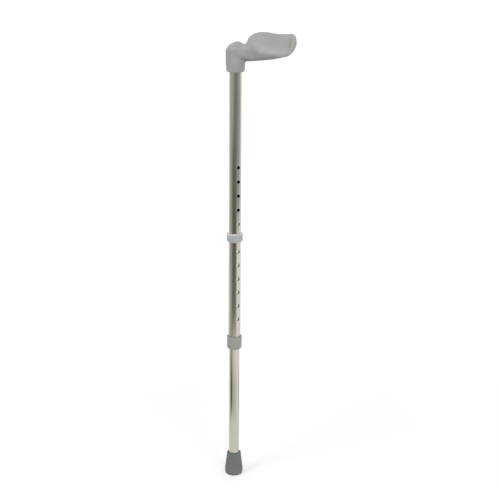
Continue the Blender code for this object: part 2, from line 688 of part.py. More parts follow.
def main():
    """Build every piece and hang the moving ones on their joints' empties."""
    clear_scene()
    parts = new_collection(COLLECTION_NAME)
    grey_plastic = new_material("handle_plastic", (170, 172, 168), 0.50)
    collar_plastic = new_material("collar_plastic", (152, 151, 147), 0.50)
    clip_plastic = new_material("clip_plastic", (182, 184, 190), 0.42)
    natural_nylon = new_material("natural_nylon", (222, 218, 205), 0.55)
    plug_nylon = new_material("plug_nylon", (205, 203, 196), 0.55)
    bronze_aluminium = new_material("bronze_anodised_tube", (176, 171, 156), 0.30, 1.0)
    silver_aluminium = new_material("silver_anodised_tube", (196, 194, 180), 0.30, 1.0)
    rubber = new_material("grey_rubber", (114, 118, 116), 0.80)
    zinc_steel = new_material("zinc_steel_washer", (180, 182, 184), 0.35, 1.0)
    screw_steel = new_material("screw_steel", (186, 187, 188), 0.30, 1.0)

    hole_heights = [
        UPPER_TUBE_BASE + LOWEST_HOLE_FROM_END + i * HOLE_PITCH for i in reversed(range(HOLE_COUNT))
    ]
    make_grip(parts, grey_plastic)
    make_grip_screw(parts, screw_steel)
    make_tube_plug(parts, plug_nylon)
    tube("upper_tube", UPPER_TUBE_RADIUS, UPPER_TUBE_LENGTH, UPPER_TUBE_BASE, hole_heights, parts,
         bronze_aluminium)
    make_end_collar(parts, collar_plastic)

    leg = add_pivot("leg_slide", (0, 0, 0), 0, None, parts)
    lower_tube = tube("lower_tube", LOWER_TUBE_RADIUS, LOWER_TUBE_LENGTH, LOWER_TUBE_BASE, [PIN_HEIGHT],
                      parts, silver_aluminium)
    leg_pieces = [
        lower_tube,
        make_guide_bush(parts, natural_nylon),
        make_washer(parts, zinc_steel),
        make_ferrule(parts, rubber),
    ]
    for piece in leg_pieces:
        piece.parent = leg

    clip_pivot = add_pivot("clip_slide", (0, 0, PIN_HEIGHT), HOLE_ROW_TURN, leg, parts)
    clip = make_height_clip(parts, clip_plastic)
    clip.parent = clip_pivot


main()
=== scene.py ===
"""Looks of the height-adjustable walking stick: its dressed pieces, and the stage it stands on.

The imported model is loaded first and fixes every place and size. All sizes are in metres, +Z runs
up the shaft and the handle reaches back along +X. Each piece has its own operator in the sidebar.
"""

import math

import bmesh
import bpy
from bpy.props import FloatProperty, FloatVectorProperty, IntProperty, PointerProperty
from mathutils import Matrix, Vector


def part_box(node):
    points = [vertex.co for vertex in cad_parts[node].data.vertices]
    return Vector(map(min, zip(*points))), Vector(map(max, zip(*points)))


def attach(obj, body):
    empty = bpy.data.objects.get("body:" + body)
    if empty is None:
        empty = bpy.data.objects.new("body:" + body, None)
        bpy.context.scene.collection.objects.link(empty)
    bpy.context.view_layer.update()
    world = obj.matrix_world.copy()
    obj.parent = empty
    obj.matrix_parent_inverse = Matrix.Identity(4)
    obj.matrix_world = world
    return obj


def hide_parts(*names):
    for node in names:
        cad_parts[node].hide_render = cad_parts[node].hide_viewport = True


bl_info = {
    "name": "Walking stick",
    "version": (1, 0, 0),
    "blender": (4, 5, 0),
    "location": "View3D > Sidebar > Walking stick",
    "description": "Dresses a height-adjustable walking stick with a moulded palm handle",
    "category": "Add Mesh",
}

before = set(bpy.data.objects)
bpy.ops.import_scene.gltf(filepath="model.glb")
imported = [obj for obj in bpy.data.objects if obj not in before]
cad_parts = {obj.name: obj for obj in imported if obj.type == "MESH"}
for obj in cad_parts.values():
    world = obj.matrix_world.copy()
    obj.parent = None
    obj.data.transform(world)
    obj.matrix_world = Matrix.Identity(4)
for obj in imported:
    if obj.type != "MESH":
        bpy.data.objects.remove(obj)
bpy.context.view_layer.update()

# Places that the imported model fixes
GRIP_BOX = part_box("grip")
UPPER_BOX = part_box("upper_tube")
LOWER_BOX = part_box("lower_tube")
COLLAR_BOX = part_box("end_collar")
CLIP_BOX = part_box("height_clip")
FERRULE_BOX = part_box("ferrule")
SCREW_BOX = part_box("grip_screw")
CLIP_DROP = 0.0006    # how far the middle of the clip's ring lies below its pin
PIN_HEIGHT = (CLIP_BOX[0].z + CLIP_BOX[1].z) / 2 + CLIP_DROP
SCREW_HEIGHT = (SCREW_BOX[0].z + SCREW_BOX[1].z) / 2
HOLE_TURN = math.radians(-45)    # direction of the hole row and the clip's pin, from +X
TOUCH_GAP = 0.0003    # left between two pieces that touch
Z_TO_X = Matrix.Rotation(math.pi / 2, 4, "Y")
Z_TO_Y = Matrix.Rotation(-math.pi / 2, 4, "X")

# Faces round a full turn
RING_STEPS = 112
TUBE_STEPS = 96
SCREW_STEPS = 48
HOLE_STEPS = 40

# The photograph's lens and the shaft's place in it, both in pixels of its 500-pixel width
LENS_PIXELS = 1172
SHAFT_LEFT_OF_MIDDLE = 15.94


def from_screen(red, green, blue):
    """A 0-255 screen colour as the linear values that shaders take."""
    shares = [channel / 255 for channel in (red, green, blue)]
    return tuple(s / 12.92 if s <= 0.04045 else ((s + 0.055) / 1.055) ** 2.4 for s in shares)


def length(name, description, default):
    """A size in metres that a user may change."""
    return FloatProperty(name=name, description=description, default=default, min=0.0, precision=5,
                         unit="LENGTH", subtype="DISTANCE")


def count(name, description, default):
    """A number of things or passes that a user may change."""
    return IntProperty(name=name, description=description, default=default, min=0)


def camera_angle(name, description, degrees):
    """One of the camera's angles, given in degrees."""
    return FloatProperty(name=name, description=description, default=math.radians(degrees), subtype="ANGLE")


def colour(name, description, default):
    """A surface colour, given as 0-255 screen values."""
    return FloatVectorProperty(name=name, description=description, default=from_screen(*default),
                               size=3, min=0.0, max=1.0, subtype="COLOR")


class HandleSettings(bpy.types.PropertyGroup):
    """Sizes and colour of the moulded handle."""

    facet: length("Facet size", "Size of the handle mesh's faces", 0.0006)
    soften: count("Edge softening", "Passes that soften every moulded edge", 2)
    fillet: count("Inner fillet", "Passes that round the inner corners", 26)
    fillet_reach: count("Fillet reach", "Rows of faces that an inner fillet takes in", 5)
    notch_reach: length("Notch reach", "Reach of the filling in the notch under the crest's end", 0.011)
    notch_fill: length("Notch filling", "Thickness of the filling in that notch", 0.0034)
    plastic: colour("Plastic", "Colour of the moulded handle", (169, 170, 166))


class TubeSettings(bpy.types.PropertyGroup):
    """Sizes and colours of the two drawn tubes."""

    wall: length("Wall", "Thickness of both tubes' walls", 0.0012)
    hole_radius: length("Hole radius", "Radius of the adjusting holes", 0.00325)
    hole_pitch: length("Hole pitch", "Distance between two adjusting holes", 0.0254)
    hole_count: count("Holes", "Adjusting holes in the upper tube", 12)
    holes_above_pin: count("Holes above pin", "Adjusting holes above the one in use", 5)
    deburr_width: length("Deburring width", "Width of the chamfer round each hole", 0.0007)
    deburr_depth: length("Deburring depth", "Depth of the chamfer round each hole", 0.00045)
    deburr_rise: length("Deburring rise", "How far each chamfer lies above its hole", 0.0003)
    end_chamfer: length("End chamfer", "Chamfer on the tubes' cut ends", 0.0003)
    upper: colour("Upper tube", "Colour of the pale bronze anodised tube", (197, 194, 181))
    lower: colour("Lower tube", "Colour of the silver anodised tube", (199, 197, 184))


class ClipSettings(bpy.types.PropertyGroup):
    """Sizes and colour of the clip that sets the height."""

    wall: length("Wall", "Thickness of the clip's ring", 0.0031)
    mouth: length("Mouth", "Width of the gap that lets the tube in", 0.0165)
    edge: length("Edge rounding", "Rounding of the ring's outer edges", 0.0024)
    end_edge: length("End rounding", "Rounding of the ring's inner edges and its two ends", 0.0006)
    pin_radius: length("Pin radius", "Radius of the pin that passes through both tubes", 0.00295)
    plastic: colour("Plastic", "Colour of the clip", (187, 188, 190))


class CollarSettings(bpy.types.PropertyGroup):
    """Sizes and colour of the collar on the upper tube's lower end."""

    lip: length("Lip", "How far the collar reaches below the upper tube", 0.0057)
    end_chamfer: length("End chamfer", "Chamfer round the collar's lower end", 0.0026)
    edge: length("Edge rounding", "Rounding of the collar's edges", 0.0006)
    squeeze: length("Squeeze", "Gap left between the collar and the upper tube", 0.00005)
    play: length("Play", "Gap between the collar's lip and the lower tube", 0.0002)
    plastic: colour("Plastic", "Colour of the collar", (168, 166, 159))


class FerruleSettings(bpy.types.PropertyGroup):
    """Sizes and colour of the rubber foot."""

    squeeze: length("Squeeze", "Gap left between the rubber and the tube", 0.00005)
    floor: length("Floor", "Thickness of the rubber under the tube", 0.008)
    groove_width: length("Groove width", "Width of the tread's grooves", 0.0016)
    groove_depth: length("Groove depth", "Depth of the tread's grooves", 0.0012)
    # the foot's lowest edge is darkened as a painted contact shadow, up to this height
    contact_shadow: length("Painted contact shadow", "How far up the foot the painted contact shadow reaches", 0.0024)
    rubber: colour("Rubber", "Colour of the foot", (125, 128, 126))


class ScrewSettings(bpy.types.PropertyGroup):
    """Sizes and colour of the handle's screw."""

    shank_radius: length("Shank radius", "Radius of the screw's thread", 0.0019)
    head_height: length("Head height", "Height of the pan head", 0.0022)
    cross_width: length("Cross width", "Width of one arm of the driver's cross", 0.0008)
    steel: colour("Steel", "Colour of the plated steel", (186, 187, 188))


class StageSettings(bpy.types.PropertyGroup):
    """Camera, lamps and floor."""

    camera_distance: length("Camera distance", "Camera to the shaft's axis, along the floor", 2.0)
    camera_height: length("Camera height", "Camera above the floor", 1.0342)
    camera_azimuth: camera_angle("Azimuth", "Camera's turn round the stick from -Y", 10)
    camera_pitch: camera_angle("Pitch", "How far the camera looks down", 16.62)
    camera_roll: camera_angle("Roll", "Camera's roll", 0.46)
    camera_yaw: camera_angle("Yaw", "How far the camera looks to the shaft's right",
                             math.degrees(math.atan(SHAFT_LEFT_OF_MIDDLE / LENS_PIXELS)))
    lens: FloatProperty(name="Lens", description="Focal length in mm, for a 36 mm sensor", default=84.38)
    sky: FloatProperty(name="Sky", description="Strength of the even light from all round", default=0.55)
    floor_radius: length("Floor radius", "Radius of the white floor", 16.0)
    screen_radius: length("Screen radius", "Radius of the round screen that metal and gloss reflect", 0.28)
    screen_height: length("Screen height", "Height of that screen", 1.0)


# Numbers

def fraction(value, low, high):
    """How far the value is on its way from low to high, kept between 0 and 1."""
    return min(1.0, max(0.0, (value - low) / (high - low)))


def ease(value):
    """A smooth rise from 0 to 1."""
    kept = fraction(value, 0.0, 1.0)
    return kept * kept * (3.0 - 2.0 * kept)


# Objects and meshes

def new_object(name, data):
    """An object at the origin that holds the data, linked to the scene."""
    obj = bpy.data.objects.new(name, data)
    bpy.context.scene.collection.objects.link(obj)
    return obj


def from_bmesh(name, bm):
    """An object made of the bmesh, which is freed."""
    mesh = bpy.data.meshes.new(name)
    bm.to_mesh(mesh)
    bm.free()
    return new_object(name, mesh)


def spun(profile, steps, turn=Matrix.Identity(4), closed=False):
    """A bmesh of the (radius, height) profile spun about Z, then turned.

    A closed profile goes round a bore. An open one starts and ends on the axis.
    """
    bm = bmesh.new()
    points = [bm.verts.new((radius, 0.0, height)) for radius, height in profile]
    edges = [bm.edges.new(pair) for pair in zip(points, points[1:])]
    if closed:
        edges.append(bm.edges.new((points[-1], points[0])))
    bmesh.ops.spin(bm, geom=points + edges, cent=(0, 0, 0), axis=(0, 0, 1), angle=math.tau, steps=steps,
                   use_merge=True)
    bmesh.ops.remove_doubles(bm, verts=bm.verts, dist=1e-7)    # the points on the axis
    bmesh.ops.recalc_face_normals(bm, faces=bm.faces)
    bm.transform(turn)
    return bm


def arc(middle, reach, degrees):
    """A profile's points at these degrees on an ellipse that reaches this far out and up from its middle."""
    turns = [math.radians(turn) for turn in degrees]
    return [(middle[0] + reach[0] * math.cos(turn), middle[1] + reach[1] * math.sin(turn)) for turn in turns]


def block(size, turn):
    """A bmesh of a block of this size, turned and moved by the matrix."""
    bm = bmesh.new()
    bmesh.ops.create_cube(bm, size=1, matrix=turn @ Matrix.Diagonal((*size, 1)))
    return bm


def relax(bm, vertices, strength, passes):
    """Smooth these vertices of the bmesh, a number of passes in a row."""
    for _ in range(passes):
        bmesh.ops.smooth_vert(bm, verts=list(vertices), factor=strength, use_axis_x=True, use_axis_y=True,
                              use_axis_z=True)


def grown(vertices, rows):
    """The set of vertices with some rows of their neighbours added."""
    for _ in range(rows):
        vertices = vertices | {edge.other_vert(vertex) for vertex in vertices for edge in vertex.link_edges}
    return vertices


def join(bm, other):
    """Add the other bmesh's geometry to bm, and free the other."""
    mesh = bpy.data.meshes.new("joining")
    other.to_mesh(mesh)
    other.free()
    bm.from_mesh(mesh)
    bpy.data.meshes.remove(mesh)


def combine(obj, bm, operation):
    """Cut the bmesh, as a solid, out of obj, or join it to obj."""
    tool = from_bmesh("tool", bm)
    modifier = obj.modifiers.new(operation.lower(), "BOOLEAN")
    modifier.operation = operation
    modifier.solver = "EXACT"
    modifier.object = tool
    apply_modifiers(obj)
    mesh = tool.data
    bpy.data.objects.remove(tool)
    bpy.data.meshes.remove(mesh)


def round_edges(obj, width, segments, angle=40):
    """Round every edge sharper than the angle, in degrees."""
    bevel = obj.modifiers.new("round_edges", "BEVEL")
    bevel.width = width
    bevel.segments = segments
    bevel.limit_method = "ANGLE"
    bevel.angle_limit = math.radians(angle)
    bevel.profile = 0.5
    apply_modifiers(obj)


def apply_modifiers(obj):
    """Make the modifiers' result the object's own mesh."""
    before = obj.data
    result = obj.evaluated_get(bpy.context.evaluated_depsgraph_get())
    obj.data = bpy.data.meshes.new_from_object(result)
    obj.data.name = obj.name
    obj.modifiers.clear()
    bpy.data.meshes.remove(before)


def dress(obj, material, body, node, sharp=30):
    """Shade the piece, give it its material and let it stand for its CAD node."""
    obj.data.shade_smooth()
    obj.data.set_sharp_from_angle(angle=math.radians(sharp))
    obj.data.materials.clear()
    obj.data.materials.append(material)
    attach(obj, body)
    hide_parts(node)


# Shader nodes

def place(tree, kind, inputs=None, **options):
    """Add a shader node. Its inputs are given as values, or as sockets to link."""
    node = tree.nodes.new(f"ShaderNode{kind}")
    for key, value in options.items():
        setattr(node, key, value)
    for key, value in (inputs or {}).items():
        if isinstance(value, bpy.types.NodeSocket):
            tree.links.new(value, node.inputs[key])
        else:
            node.inputs[key].default_value = value
    return node


def feed(tree, sockets, outputs):
    """Link each named output to the socket of its name."""
    for name, output in outputs.items():
        tree.links.new(output, sockets[name])


def shader_of(tree, kind, *inputs):
    """The output of a shader that takes these inputs, in the node's order."""
    return place(tree, kind, dict(enumerate(inputs))).outputs[0]


def calc(tree, operation, first, second=0.0, clamp=False):
    """The output of a Math node."""
    return place(tree, "Math", {0: first, 1: second}, operation=operation, use_clamp=clamp).outputs[0]


def product(tree, first, *others):
    """All these values multiplied."""
    for other in others:
        first = calc(tree, "MULTIPLY", first, other)
    return first


def spread(tree, value, low, high, to_low=0.0, to_high=1.0, smooth=False):
    """The value moved from the range low to high into another range, and kept inside it."""
    kind = "SMOOTHSTEP" if smooth else "LINEAR"
    inputs = {"Value": value, "From Min": low, "From Max": high, "To Min": to_low, "To Max": to_high}
    return place(tree, "MapRange", inputs, interpolation_type=kind).outputs[0]


def blend_colours(tree, share, first, second, blend_type="MIX"):
    """The colour output of a Mix node."""
    inputs = {0: share, 6: first, 7: second}
    return place(tree, "Mix", inputs, data_type="RGBA", blend_type=blend_type).outputs[2]


def toned(tree, base, tone):
    """The base colour made lighter or darker by the tone, where 1 leaves it as it is."""
    grey = place(tree, "CombineColor", {"Red": tone, "Green": tone, "Blue": tone}).outputs[0]
    return blend_colours(tree, 1.0, base, grey, "MULTIPLY")


def swing(tree, pattern, amount):
    """A noise pattern made a swing by the amount to both sides of 0."""
    return product(tree, spread(tree, pattern, 0.3, 0.7, -1.0, 1.0), amount)


def object_point(tree):
    """The Object coordinate."""
    return place(tree, "TexCoord").outputs["Object"]


def along_axis(tree, axis):
    """The Object coordinate along X, Y or Z."""
    return place(tree, "SeparateXYZ", {0: object_point(tree)}).outputs[axis]


def noise(tree, scale, detail, roughness=0.5, squeeze=1.0):
    """Noise on Object coordinates, drawn out along the shaft where squeeze is small."""
    point = place(tree, "Mapping", {"Vector": object_point(tree), "Scale": (1.0, 1.0, squeeze)})
    inputs = {"Vector": point.outputs[0], "Scale": scale, "Detail": detail, "Roughness": roughness}
    return place(tree, "TexNoise", inputs).outputs["Fac"]


def node_group(defaults):
    """Let a function that fills a node group place it. The group has the function's name and is made once.

    The function takes the group and the sockets that its inputs give, which have these names and
    defaults. It returns its outputs' names and sockets. The placing takes a tree and the inputs' values,
    and returns the outputs.
    """
    def decorate(fill):
        def placed(tree, inputs=None):
            group = bpy.data.node_groups.get(fill.__name__) or filled_group(fill, defaults)
            return place(tree, "Group", inputs, node_tree=group).outputs
        return placed
    return decorate


def filled_group(fill, defaults):
    """A new node group, filled by the function."""
    group = bpy.data.node_groups.new(fill.__name__, "ShaderNodeTree")
    for name, default in defaults.items():
        kind = {3: "Vector", 4: "Color"}[len(default)] if isinstance(default, tuple) else "Float"
        socket = group.interface.new_socket(name, in_out="INPUT", socket_type=f"NodeSocket{kind}")
        socket.default_value = default
    results = fill(group, group.nodes.new("NodeGroupInput").outputs)
    for name, socket in results.items():
        group.interface.new_socket(name, in_out="OUTPUT", socket_type=socket.bl_idname)
    feed(group, group.nodes.new("NodeGroupOutput").inputs, results)
    return group


@node_group({"Colour": (0.5, 0.5, 0.5, 1.0), "Grain Scale": 1800.0, "Roughness": 0.5, "Clouding": 0.05,
             "Speckle": 0.04})
def moulded_grain(group, given):
    """Fine spark-eroded grain and the faint clouding of moulded plastic or rubber."""
    scale = given["Grain Scale"]
    grain = noise(group, scale, 2.0, 0.6)
    pits = place(group, "TexVoronoi", {"Vector": object_point(group), "Scale": scale},
                 feature="SMOOTH_F1").outputs["Distance"]
    clouding = swing(group, noise(group, 38.0, 3.0, 0.55), given["Clouding"])
    speckle = swing(group, grain, given["Speckle"])
    tone = calc(group, "ADD", calc(group, "ADD", clouding, speckle), 1.0)
    uneven = spread(group, noise(group, 210.0, 2.0), 0.25, 0.75, -0.06, 0.06)
    return {
        "Colour": toned(group, given["Colour"], tone),
        "Roughness": calc(group, "ADD", given["Roughness"], uneven),
        "Height": calc(group, "ADD", grain, product(group, pits, 0.5)),
    }


@node_group({"Normal": (0.0, 1.0, 0.0), "Width": 0.00025, "Shift": 0.0, "Start": 0.0, "End": 1.0})
def parting_line(group, given):
    """A hair-thin raised line where the mould's two halves met.

    It lies in the plane through the origin with this Normal, and moves by Shift from x = Start to End.
    """
    along = place(group, "VectorMath", {0: object_point(group), 1: given["Normal"]},
                  operation="DOT_PRODUCT").outputs["Value"]
    reach = along_axis(group, "X")
    shift = spread(group, reach, given["Start"], given["End"], 0.0, given["Shift"], smooth=True)
    wander = spread(group, noise(group, 160.0, 2.0), 0.0, 1.0, -0.0001, 0.0001)
    gap = calc(group, "ABSOLUTE", calc(group, "SUBTRACT", calc(group, "ADD", along, wander), shift))
    return {"Mask": calc(group, "SUBTRACT", 1.0, calc(group, "DIVIDE", gap, given["Width"]), clamp=True)}


@node_group({"Colour": (0.6, 0.6, 0.6, 1.0), "Roughness": 0.24, "Lines": 0.06, "Bands": 0.05})
def draw_lines(group, given):
    """The lengthwise lines and tonal bands that drawing leaves on a tube under its anodising."""
    lines = noise(group, 1500.0, 3.0, 0.65, squeeze=0.010)
    bands = noise(group, 120.0, 2.0, squeeze=0.045)
    etch = noise(group, 2600.0, 1.0)
    by_both = calc(group, "ADD", swing(group, lines, given["Lines"]), swing(group, bands, given["Bands"]))
    uneven = calc(group, "ADD", swing(group, lines, 0.05), swing(group, bands, 0.03))
    return {
        "Colour": toned(group, given["Colour"], calc(group, "ADD", by_both, 1.0)),
        "Roughness": calc(group, "ADD", given["Roughness"], uneven),
        "Height": calc(group, "ADD", lines, product(group, etch, 0.35)),
    }


@node_group({"Low": 0.0, "High": 1.0, "Fade": 0.02, "Amount": 0.5})
def sliding_scuffs(group, given):
    """Fine scratches over a stretch of a tube where another piece slides on it."""
    height = along_axis(group, "Z")
    above = calc(group, "DIVIDE", calc(group, "SUBTRACT", height, given["Low"]), given["Fade"], clamp=True)
    below = calc(group, "DIVIDE", calc(group, "SUBTRACT", given["High"], height), given["Fade"], clamp=True)
    scratches = spread(group, noise(group, 900.0, 2.0, squeeze=0.03), 0.60, 0.70)
    patches = spread(group, noise(group, 60.0, 1.0, squeeze=0.3), 0.42, 0.62)
    return {"Mask": product(group, above, below, scratches, patches, given["Amount"])}


@node_group({"Full": 0.0, "Gone": 0.02, "Amount": 0.3})
def settled_dust(group, given):
    """Pale dust that thins out between two heights."""
    low = spread(group, along_axis(group, "Z"), given["Full"], given["Gone"], 1.0, 0.0)
    blots = spread(group, noise(group, 260.0, 4.0, 0.6), 0.35, 0.75)
    return {"Mask": product(group, low, blots, given["Amount"])}


def emptied_tree(owner):
    """The node tree of a material or world, emptied."""
    owner.use_nodes = True
    owner.node_tree.nodes.clear()
    return owner.node_tree


def new_material(name):
    """A node material, and its tree and Principled shader."""
    material = bpy.data.materials.new(name)
    material.use_nodes = True
    return material, material.node_tree, material.node_tree.nodes["Principled BSDF"]


def bump(tree, shader, height, distance):
    """Feed a height, in shares of the distance in metres, to the shader's normal."""
    node = place(tree, "Bump", {"Height": height, "Distance": distance})
    feed(tree, shader.inputs, {"Normal": node.outputs["Normal"]})


def opaque(values):
    """A colour with its alpha."""
    return (*values, 1.0)


def shaded(values, factor):
    """A colour made darker or lighter."""
    return [min(1.0, value * factor) for value in values]


def layer_over(tree, shader, mask, cover):
    """Lay a colour over the shader's base colour where the mask is."""
    before = shader.inputs["Base Color"].links[0].from_socket
    feed(tree, shader.inputs, {"Base Color": blend_colours(tree, mask, before, opaque(cover))})


def change_roughness(tree, shader, mask, amount):
    """Add the amount to the shader's roughness where the mask is."""
    before = shader.inputs["Roughness"].links[0].from_socket
    feed(tree, shader.inputs, {"Roughness": calc(tree, "ADD", before, product(tree, mask, amount))})


def plastic_material(name, base, roughness, grain_scale, grain_height, seam=None, clouding=0.045,
                     speckle=0.035):
    """Satin moulded plastic with spark-eroded grain and a faint parting line.

    The seam gives the parting line's values. The material comes back with its tree and shader.
    """
    material, tree, shader = new_material(name)
    grain = moulded_grain(tree, {
        "Colour": opaque(base), "Grain Scale": grain_scale, "Roughness": roughness, "Clouding": clouding,
        "Speckle": speckle,
    })
    line = parting_line(tree, seam)["Mask"]
    line_height = 0.00006
    feed(tree, shader.inputs, {"Base Color": grain["Colour"], "Roughness": grain["Roughness"]})
    layer_over(tree, shader, product(tree, line, 0.12), shaded(base, 0.6))
    raised = calc(tree, "ADD", product(tree, grain["Height"], grain_height), product(tree, line, line_height))
    bump(tree, shader, raised, 1.0)
    return material, tree, shader


def tube_material(name, base, roughness, radius, scuff_low, scuff_high):
    """Satin anodised aluminium: draw lines, tonal bands, scuffs of what slides on it, and rougher cut faces
    and bore, darkened as painted shade.
    """
    material, tree, shader = new_material(name)
    drawn = draw_lines(tree, {"Colour": opaque(base), "Roughness": roughness})
    scuffs = sliding_scuffs(tree, {"Low": scuff_low, "High": scuff_high, "Amount": 0.35})["Mask"]
    feed(tree, shader.inputs, {"Base Color": drawn["Colour"], "Roughness": drawn["Roughness"]})
    layer_over(tree, shader, scuffs, shaded(base, 1.25))
    change_roughness(tree, shader, scuffs, 0.12)
    across = place(tree, "VectorMath", {0: object_point(tree), 1: (1.0, 1.0, 0.0)},
                   operation="MULTIPLY").outputs[0]
    off_axis = place(tree, "VectorMath", {0: across}, operation="LENGTH").outputs["Value"]
    skin, skin_fade = 0.0006, 0.0003    # the cut faces and the bore lie deeper than this skin
    # the cut faces and the bore are darkened as painted shade, and made rougher
    cut = spread(tree, off_axis, radius - skin - skin_fade, radius - skin, 0.85, 0.0)
    layer_over(tree, shader, cut, shaded(base, 0.3))
    change_roughness(tree, shader, cut, 0.3)
    shader.inputs["Metallic"].default_value = 1.0
    bump(tree, shader, drawn["Height"], 0.000004)
    return material


def steel_material(name, base):
    """Zinc-plated steel with fine all-round brushing."""
    material, tree, shader = new_material(name)
    flake = noise(tree, 700.0, 3.0)
    feed(tree, shader.inputs, {
        "Base Color": toned(tree, opaque(base), spread(tree, flake, 0.3, 0.7, 0.9, 1.08)),
        "Roughness": spread(tree, flake, 0.3, 0.7, 0.24, 0.42),
    })
    shader.inputs["Metallic"].default_value = 1.0
    bump(tree, shader, noise(tree, 3000.0, 2.0), 0.000006)
    return material


# Operators, one for each piece or group of like pieces

# rubbed edges and the palm's polish are wear; the inner-corner and underside masks carry painted shade
WEAR_AND_SHADE_MASKS = ("rubbed", "shaded_corners", "palmed", "under")
BEND_BLUR = 6    # times that an edge's bend is passed on to the vertices beside it
PALM_START = (0.022, 0.042)    # distances behind the shaft's axis over which the palm's polish begins


class STICK_OT_handle(bpy.types.Operator):
    """Make the moulded handle: socket, arm and palm rest in one, with soft moulded edges"""

    bl_idname = "stick.handle"
    bl_label = "Handle"

    def execute(self, context):
        settings = context.scene.stick_handle
        bm = bmesh.new()
        bm.from_mesh(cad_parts["grip"].data)
        bmesh.ops.remove_doubles(bm, verts=bm.verts, dist=1e-6)
        bmesh.ops.join_triangles(bm, faces=bm.faces, angle_face_threshold=math.radians(40),
                                 angle_shape_threshold=math.radians(60))
        crease = bm.edges.layers.float.new("crease_edge")
        for edge in bm.edges:
            edge[crease] = fraction(math.degrees(edge.calc_face_angle(0.0)), 10, 30)
        handle = from_bmesh("moulded_handle", bm)
        subdivision = handle.modifiers.new("smooth_facets", "SUBSURF")
        subdivision.levels = subdivision.render_levels = 2
        remesh = handle.modifiers.new("even_facets", "REMESH")
        remesh.mode = "VOXEL"
        remesh.voxel_size = settings.facet
        apply_modifiers(handle)

        bm = bmesh.new()
        bm.from_mesh(handle.data)
        self.fill_notch(bm, settings)
        inward = -0.25    # in radians; faces that bend inwards by more make an inner corner
        corners = {
            vertex for edge in bm.edges if edge.calc_face_angle_signed(0.0) < inward for vertex in edge.verts
        }
        relax(bm, grown(corners, settings.fillet_reach), strength=0.5, passes=settings.fillet)
        relax(bm, bm.verts, strength=0.5, passes=settings.soften)
        self.mark_wear_and_shade(bm)
        bm.to_mesh(handle.data)
        bm.free()
        dress(handle, self.plastic(settings), "upper", "grip", sharp=60)
        return {"FINISHED"}

    def fill_notch(self, bm, settings):
        """Fill the notch under the crest's rear end on the far side, so that the flank runs on smoothly."""
        rear = Vector((GRIP_BOX[1].x, 0.0, GRIP_BOX[1].z))
        start, end = rear + Vector((-0.025, 0.0075, -0.026)), rear + Vector((-0.002, -0.003, -0.0185))
        outward = Vector((0.45, 0.75, -0.48)).normalized()    # square to the flank, out of the notch
        run = end - start
        bm.normal_update()
        flank = set()
        for vertex in bm.verts:
            along = fraction((vertex.co - start).dot(run), 0.0, run.length_squared)
            gap = (vertex.co - start - run * along).length
            facing = vertex.normal.dot(outward)
            if gap < settings.notch_reach and facing > 0.0:
                push = ease(1.0 - gap / settings.notch_reach) * ease(facing / 0.3) * ease(0.25 + along * 2)
                vertex.co += outward * settings.notch_fill * push
                flank.add(vertex)
        relax(bm, flank, strength=0.9, passes=70)
        relax(bm, grown(flank, settings.fillet_reach + 1), strength=0.5, passes=14)

    def mark_wear_and_shade(self, bm):
        """Write four masks: rubbed edges, inner corners and undersides for painted shade, and where the palm
        rests.
        """
        bm.normal_update()
        bend = [0.0] * len(bm.verts)    # mean angle of the edges at each vertex, inner corners below 0
        bm.verts.index_update()
        for edge in bm.edges:
            fold = edge.calc_face_angle_signed(0.0)
            for vertex in edge.verts:
                bend[vertex.index] += fold / len(vertex.link_edges)
        for _ in range(BEND_BLUR):
            bend = [
                (bend[vertex.index] + sum(bend[edge.other_vert(vertex).index] for edge in vertex.link_edges))
                / (1 + len(vertex.link_edges)) for vertex in bm.verts
            ]
        rubbed, shaded_corners, palmed, under = (bm.verts.layers.float.new(mask) for mask in WEAR_AND_SHADE_MASKS)
        for vertex in bm.verts:
            vertex[rubbed] = fraction(bend[vertex.index], 0.03, 0.12)
            # inner corners, darkened in the plastic as painted shade
            vertex[shaded_corners] = fraction(-bend[vertex.index], 0.02, 0.10)
            vertex[palmed] = fraction(vertex.normal.z, 0.25, 0.75) * fraction(vertex.co.x, *PALM_START)
            # downward faces, darkened in the plastic as painted shade
            vertex[under] = fraction(-vertex.normal.z, 0.35, 0.75)

    def plastic(self, settings):
        """The handle's plastic: palm polish, rubbed edges, rougher corners, painted shade in corners and
        below.
        """
        base = settings.plastic
        crest_offset, crest_rise = 0.009, 0.03    # the seam moves over to the crest along the arm
        seam = {"Shift": crest_offset, "Start": UPPER_BOX[1].x, "End": UPPER_BOX[1].x + crest_rise}
        material, tree, shader = plastic_material("handle_plastic", base, roughness=0.44, grain_scale=1500.0,
                                                  grain_height=0.00003, seam=seam)
        rubbed, shaded_corners, palmed, under = (
            place(tree, "Attribute", attribute_name=mask).outputs["Fac"] for mask in WEAR_AND_SHADE_MASKS
        )
        blots = spread(tree, noise(tree, 95.0, 4.0, 0.6), 0.35, 0.65, smooth=True)
        held = product(tree, palmed, spread(tree, blots, 0.0, 1.0, 0.5, 1.0))
        worn = product(tree, rubbed, blots)
        # painted shade in the inner corners and on the undersides, then lighter rubbed edges and the palm's
        # polish
        for mask, strength, factor in (
            (shaded_corners, 0.55, 0.72), (under, 0.9, 0.62), (worn, 0.15, 1.18), (held, 0.05, 0.8),
        ):
            layer_over(tree, shader, product(tree, mask, strength), shaded(base, factor))
        for mask, amount in ((held, -0.08), (rubbed, -0.06), (shaded_corners, 0.12)):
            change_roughness(tree, shader, mask, amount)
        return material


